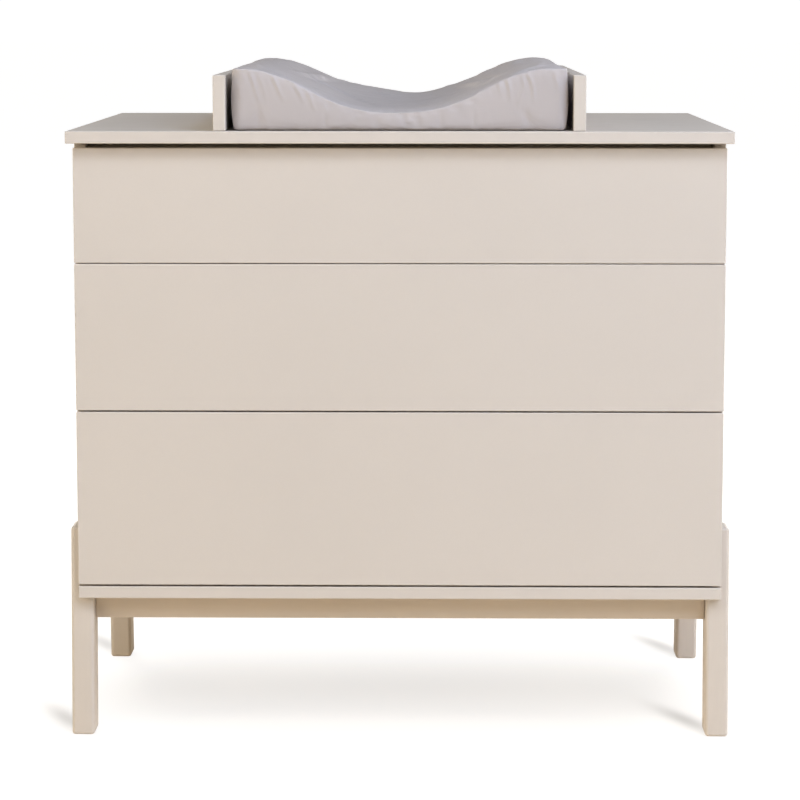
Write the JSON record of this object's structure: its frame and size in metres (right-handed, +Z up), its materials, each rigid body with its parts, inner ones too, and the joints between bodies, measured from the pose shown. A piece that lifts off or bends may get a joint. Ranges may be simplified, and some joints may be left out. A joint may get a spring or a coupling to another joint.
{
  "type": "changing table",
  "caption": "Changing table: a chest of handle-less drawers on raked legs, with a deep top, two holder boards and a soft mat with raised sides.",
  "frame": {"origin": "on the floor, under the middle of the top panel", "axes": "+X to the user's right, -Y towards the user, +Z up"},
  "size_m": [0.988, 0.7, 1.0043],
  "materials": {
    "lacquered_board": "satin lacquer",
    "lacquered_wood": "satin lacquer",
    "back_board": "matt",
    "drawer_birch": "clear lacquer",
    "runner_steel": "zinc plated",
    "mat_cover": "coated fabric"
  },
  "bodies": {
    "carcass": {"top_panel": "lacquered_board", "bottom_panel": "lacquered_board", "side_panel_left": "lacquered_board", "side_panel_right": "lacquered_board", "back_panel": "back_board", "front_stretcher": "lacquered_board", "rear_stretcher": "lacquered_board", "front_leg_left": "lacquered_wood", "front_leg_right": "lacquered_wood", "rear_leg_left": "lacquered_wood", "rear_leg_right": "lacquered_wood", "front_rail": "lacquered_wood", "rear_rail": "lacquered_wood", "side_rail_left": "lacquered_wood", "side_rail_right": "lacquered_wood", "holder_board_left": "lacquered_board", "holder_board_right": "lacquered_board", "lower_runner_left_cabinet": "runner_steel", "lower_runner_right_cabinet": "runner_steel", "middle_runner_left_cabinet": "runner_steel", "middle_runner_right_cabinet": "runner_steel", "upper_runner_left_cabinet": "runner_steel", "upper_runner_right_cabinet": "runner_steel"},
    "lower_drawer": {"lower_drawer_front": "lacquered_board", "lower_box_side_left": "drawer_birch", "lower_box_side_right": "drawer_birch", "lower_box_front": "drawer_birch", "lower_box_back": "drawer_birch", "lower_box_base": "drawer_birch", "lower_runner_left_drawer": "runner_steel", "lower_runner_right_drawer": "runner_steel"},
    "lower_runner_middles": {"lower_runner_left_middle": "runner_steel", "lower_runner_right_middle": "runner_steel"},
    "middle_drawer": {"middle_drawer_front": "lacquered_board", "middle_box_side_left": "drawer_birch", "middle_box_side_right": "drawer_birch", "middle_box_front": "drawer_birch", "middle_box_back": "drawer_birch", "middle_box_base": "drawer_birch", "middle_runner_left_drawer": "runner_steel", "middle_runner_right_drawer": "runner_steel"},
    "middle_runner_middles": {"middle_runner_left_middle": "runner_steel", "middle_runner_right_middle": "runner_steel"},
    "upper_drawer": {"upper_drawer_front": "lacquered_board", "upper_box_side_left": "drawer_birch", "upper_box_side_right": "drawer_birch", "upper_box_front": "drawer_birch", "upper_box_back": "drawer_birch", "upper_box_base": "drawer_birch", "upper_runner_left_drawer": "runner_steel", "upper_runner_right_drawer": "runner_steel"},
    "upper_runner_middles": {"upper_runner_left_middle": "runner_steel", "upper_runner_right_middle": "runner_steel"},
    "mat": {"changing_mat": "mat_cover"}
  },
  "joints": [
    {"name": "lower_drawer_slide", "type": "slide", "parent": "carcass", "child": "lower_drawer", "axis": [0, -1, 0], "range_m": [0, 0.42]},
    {"name": "lower_runner_slide", "type": "slide", "parent": "carcass", "child": "lower_runner_middles", "axis": [0, -1, 0], "range_m": [0, 0.21]},
    {"name": "middle_drawer_slide", "type": "slide", "parent": "carcass", "child": "middle_drawer", "axis": [0, -1, 0], "range_m": [0, 0.42]},
    {"name": "middle_runner_slide", "type": "slide", "parent": "carcass", "child": "middle_runner_middles", "axis": [0, -1, 0], "range_m": [0, 0.21]},
    {"name": "upper_drawer_slide", "type": "slide", "parent": "carcass", "child": "upper_drawer", "axis": [0, -1, 0], "range_m": [0, 0.42]},
    {"name": "upper_runner_slide", "type": "slide", "parent": "carcass", "child": "upper_runner_middles", "axis": [0, -1, 0], "range_m": [0, 0.21]},
    {"name": "mat_lift", "type": "slide", "parent": "carcass", "child": "mat", "axis": [0, 0, 1], "range_m": [0, 0.25]}
  ],
  "couplings": [
    {"joint": "lower_runner_slide", "follows": "lower_drawer_slide", "ratio": 0.5},
    {"joint": "middle_runner_slide", "follows": "middle_drawer_slide", "ratio": 0.5},
    {"joint": "upper_runner_slide", "follows": "upper_drawer_slide", "ratio": 0.5}
  ]
}
